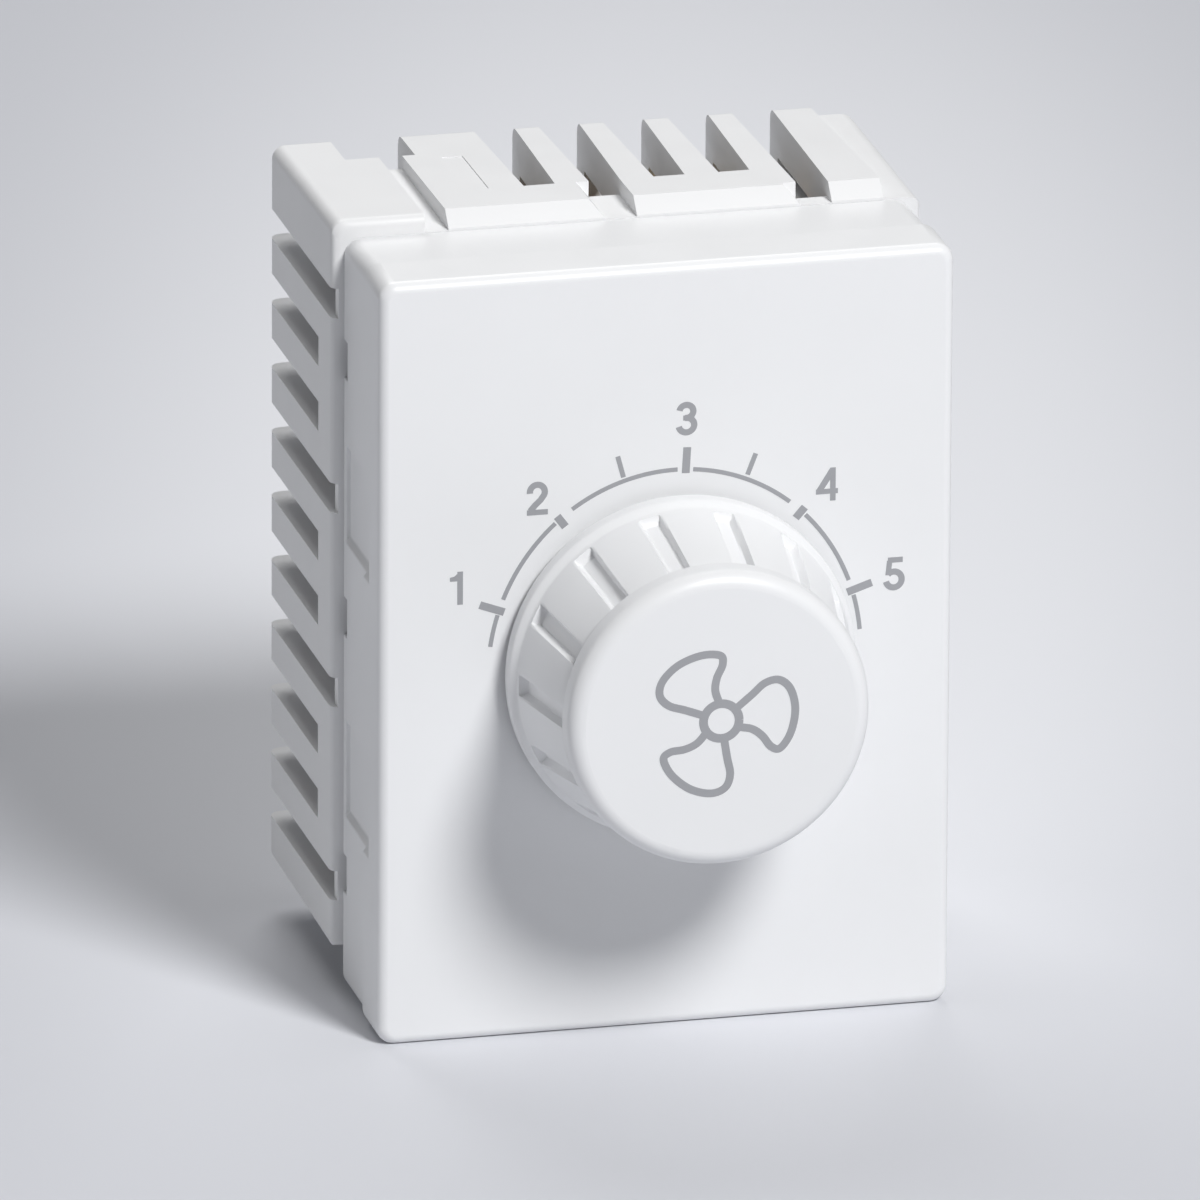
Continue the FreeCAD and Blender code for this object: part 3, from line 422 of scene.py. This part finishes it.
def ink(name, faces, centre, level, body):
    """One thin film of print over the union of the faces, given in millimetres from its centre."""
    points = []
    outlines = []
    for face in faces:
        outlines.append(range(len(points), len(points) + len(face)))
        points += [Vector(p) for p in face]
    flat, _, triangles, _, _, owners = delaunay_2d_cdt(
        points, [], outlines, FILL_INSIDE, FILL_MERGE
    )
    triangles = [t for t, owner in zip(triangles, owners) if owner]
    cx, cz = centre
    film = bmesh.new()
    layers = []
    for y in (level - PRINT_T * MM, level):
        layers.append([film.verts.new((cx + p.x * MM, y, cz + p.y * MM)) for p in flat])
    front, back = layers
    sides = set()
    for a, b, c in triangles:
        film.faces.new((front[a], front[b], front[c]))
        film.faces.new((back[c], back[b], back[a]))
        sides |= {(a, b), (b, c), (c, a)}
    for a, b in sorted(sides):
        if (b, a) not in sides:
            film.faces.new((front[b], front[a], back[a], back[b]))
    mesh = bpy.data.meshes.new(name)
    loose = [v for v in film.verts if not v.link_faces]
    bmesh.ops.delete(film, geom=loose, context="VERTS")
    bmesh.ops.recalc_face_normals(film, faces=film.faces)
    film.to_mesh(mesh)
    film.free()
    mesh.materials.append(PRINT)
    piece = link(bpy.data.objects.new(name, mesh))
    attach(piece, body)


def dial(radius, degrees):
    """Point in millimetres from the knob's axis, angle clockwise from straight up."""
    a = math.radians(degrees)
    return Vector((radius * math.sin(a), radius * math.cos(a)))


def print_scale():
    stops = [(-ARC_END, 0.0), (ARC_END, 0.0)]
    stops += [(a, MAIN_GAP) for a in TOP_TICKS + END_TICKS]
    stops += [(a, SHORT_GAP) for a in SHORT_TICKS]
    stops.sort()
    faces = []
    for (a, gap_a), (b, gap_b) in zip(stops, stops[1:]):
        start = STRAIGHT_UP - SCALE_TILT - a - gap_a
        end = STRAIGHT_UP - SCALE_TILT - b + gap_b
        faces += stroke(arc(0, 0, ARC_RX, ARC_RZ, start, end, ARC_STEP), ARC_STROKE)
    ticks = [(a, TOP_TICK) for a in TOP_TICKS] + [(a, END_TICK) for a in END_TICKS]
    ticks += [(a, SHORT_TICK) for a in SHORT_TICKS]
    ticks += [(a, HALF_TICK) for a in HALF_TICKS]
    for angle, (inner, outer, width) in ticks:
        faces += stroke((dial(inner, angle + SCALE_TILT), dial(outer, angle + SCALE_TILT)), width)
    ink("speed_scale", faces, (AXIS_X + SCALE_SHIFT * MM, AXIS_Z), FACE_Y, CASE)


def bar(x0, z0, x1, z1):
    """One upright rectangle between two corners."""
    return [((x0, z0), (x1, z0), (x1, z1), (x0, z1))]


def digit_faces():
    """Plain bold numbers built from straight bars and arcs, in millimetres about each number's centre."""
    w = DIGIT_STROKE
    h = DIGIT_HALF_H
    step = DIGIT_ARC_STEP
    flag = ((0.05, 0.42), (0.05, 0.85), (-0.13, 0.70), (-0.375, 0.655), (-0.375, 0.42))
    one = bar(0.05, -h, 0.375, h) + [flag]
    crook = arc(-0.01, 0.375, 0.43, 0.435, 188, -25, step)
    two = stroke(crook + [(0.18, -0.10), (-0.12, -0.38), (-0.42, -0.72)], w)
    two += bar(-0.605, -h, 0.60, -0.66)
    three = stroke(arc(-0.02, 0.425, 0.40, 0.385, 170, -100, step), w)
    three += stroke(arc(-0.01, -0.38, 0.445, 0.43, 100, -170, step), w)
    three += bar(-0.2, -0.1, 0.02, 0.19)
    slant = [((-0.635, -0.33), (-0.22, -0.33), (0.5, 0.75), (0.5, h), (0.19, h))]
    four = bar(0.18, -h, 0.5, h) + bar(-0.635, -0.56, 0.635, -0.26) + slant
    five = stroke(arc(-0.01, -0.34, 0.455, 0.47, 138, -168, step), w)
    five += bar(-0.36, 0.66, 0.5, h)
    five += [((-0.50, -0.06), (-0.20, -0.06), (-0.09, 0.8), (-0.41, 0.8))]
    return {"1": one, "2": two, "3": three, "4": four, "5": five}


def print_digits():
    for text, faces in digit_faces().items():
        place = dial(*DIGIT_PLACES[text]) * MM
        centre = (AXIS_X + place.x, AXIS_Z + place.y)
        ink("digit_" + text, faces, centre, FACE_Y, CASE)


def smooth_line(points):
    """Catmull-Rom curve through the points, from the first to the last."""
    line = [Vector(p) for p in points]
    padded = [2 * line[0] - line[1]] + line + [2 * line[-1] - line[-2]]
    out = []
    for p0, p1, p2, p3 in zip(padded, padded[1:], padded[2:], padded[3:]):
        for k in range(CURVE_STEPS):
            t = k / CURVE_STEPS
            bend = (2 * p0 - 5 * p1 + 4 * p2 - p3) * t ** 2
            twist = (3 * p1 - p0 - 3 * p2 + p3) * t ** 3
            out.append((2 * p1 + (p2 - p0) * t + bend + twist) / 2)
    return out + [line[-1]]


def print_fan_sign():
    hub = arc(0, 0, SIGN_HUB_R, SIGN_HUB_R, 0, 360, SIGN_ARC_STEP)
    faces = stroke(hub, SIGN_HUB_STROKE)
    for k in range(SIGN_BLADES):
        turn = Matrix.Rotation(k * 2 * math.pi / SIGN_BLADES, 2)
        faces += stroke([turn @ p for p in smooth_line(BLADE_POINTS)], SIGN_STROKE)
    ink("fan_sign", faces, (AXIS_X, AXIS_Z), CAP_Y, KNOB)


def studio_material():
    """Pale floor with a wide painted pool of light behind the object, its colour falling off to painted
    shade at its edges.
    """
    material, nodes, links, shader = new_material("studio_floor")
    shader.inputs["Roughness"].default_value = FLOOR_ROUGHNESS
    shader.inputs["Specular IOR Level"].default_value = FLOOR_SPECULAR
    coords = nodes.new("ShaderNodeTexCoord")
    oval = nodes.new("ShaderNodeMapping")
    oval.vector_type = "TEXTURE"
    oval.inputs["Location"].default_value = PAINTED_LIGHT_CENTRE
    oval.inputs["Rotation"].default_value = (0, 0, math.radians(VIEW_AZIMUTH))
    oval.inputs["Scale"].default_value = PAINTED_LIGHT_SIZE
    links.new(coords.outputs["Object"], oval.inputs["Vector"])
    length = nodes.new("ShaderNodeVectorMath")
    length.operation = "LENGTH"
    links.new(oval.outputs["Vector"], length.inputs[0])
    fade = nodes.new("ShaderNodeMapRange")
    fade.interpolation_type = "SMOOTHSTEP"
    fade.inputs["From Min"].default_value = PAINTED_LIGHT_FADE[0]
    fade.inputs["From Max"].default_value = PAINTED_LIGHT_FADE[1]
    links.new(length.outputs["Value"], fade.inputs["Value"])
    # Painted pool of light: the floor's base colour goes from painted light at the centre to painted
    # shade at the edges
    ramp = nodes.new("ShaderNodeValToRGB")
    ramp.color_ramp.elements[0].color = (*FLOOR_PAINTED_LIGHT, 1)
    ramp.color_ramp.elements[1].color = (*FLOOR_PAINTED_SHADE, 1)
    links.new(fade.outputs["Result"], ramp.inputs["Fac"])
    links.new(ramp.outputs["Color"], shader.inputs["Base Color"])
    return material


def build_studio():
    half = FLOOR_HALF
    outline = ((-half, -half), (half, -half), (half, half), (-half, half))
    corners = [(x, y, FLOOR_Z) for x, y in outline]
    mesh = bpy.data.meshes.new("studio_floor")
    mesh.from_pydata(corners, [], [(0, 1, 2, 3)])
    mesh.materials.append(studio_material())
    link(bpy.data.objects.new("studio_floor", mesh))


def area_light(name, place, aim, size, watts):
    data = bpy.data.lights.new(name, "AREA")
    data.shape = "DISK"
    data.size = size
    data.energy = watts
    lamp = link(bpy.data.objects.new(name, data))
    lamp.visible_camera = False
    lamp.location = place
    lamp.rotation_euler = (Vector(aim) - Vector(place)).to_track_quat("-Z", "Y").to_euler()


def build_lights():
    for lamp in LAMPS:
        area_light(*lamp)
    world = bpy.data.worlds.new("studio_world")
    world.use_nodes = True
    background = world.node_tree.nodes["Background"]
    background.inputs["Color"].default_value = (*SKY_COLOUR, 1)
    background.inputs["Strength"].default_value = SKY_STRENGTH
    bpy.context.scene.world = world


def build_camera():
    a, e, r = (math.radians(d) for d in (VIEW_AZIMUTH, VIEW_ELEVATION, VIEW_ROLL))
    back = Vector((math.sin(a) * math.cos(e), -math.cos(a) * math.cos(e), math.sin(e)))
    level = Vector((math.cos(a), math.sin(a), 0))
    upright = back.cross(level)
    right = math.cos(r) * level + math.sin(r) * upright
    up = math.cos(r) * upright - math.sin(r) * level
    data = bpy.data.cameras.new("photo_camera")
    data.sensor_fit = "HORIZONTAL"
    data.sensor_width = SENSOR_MM
    data.lens = VIEW_FOCAL_PX / VIEW_FRAME_PX * SENSOR_MM
    data.clip_end = CAMERA_REACH_M
    camera = link(bpy.data.objects.new("photo_camera", data))
    turn = Matrix((right, up, back)).transposed().to_4x4()
    camera.matrix_world = Matrix.Translation((Vector(VIEW_TARGET) + back * VIEW_DISTANCE) * MM) @ turn
    bpy.context.scene.camera = camera


dress_nodes()
rounded_copy("front_plate", CASE)
rounded_copy("rear_housing", CASE)
knob_moulding()
print_scale()
print_digits()
print_fan_sign()
build_studio()
build_lights()
build_camera()
bpy.context.scene.view_settings.view_transform = "Standard"
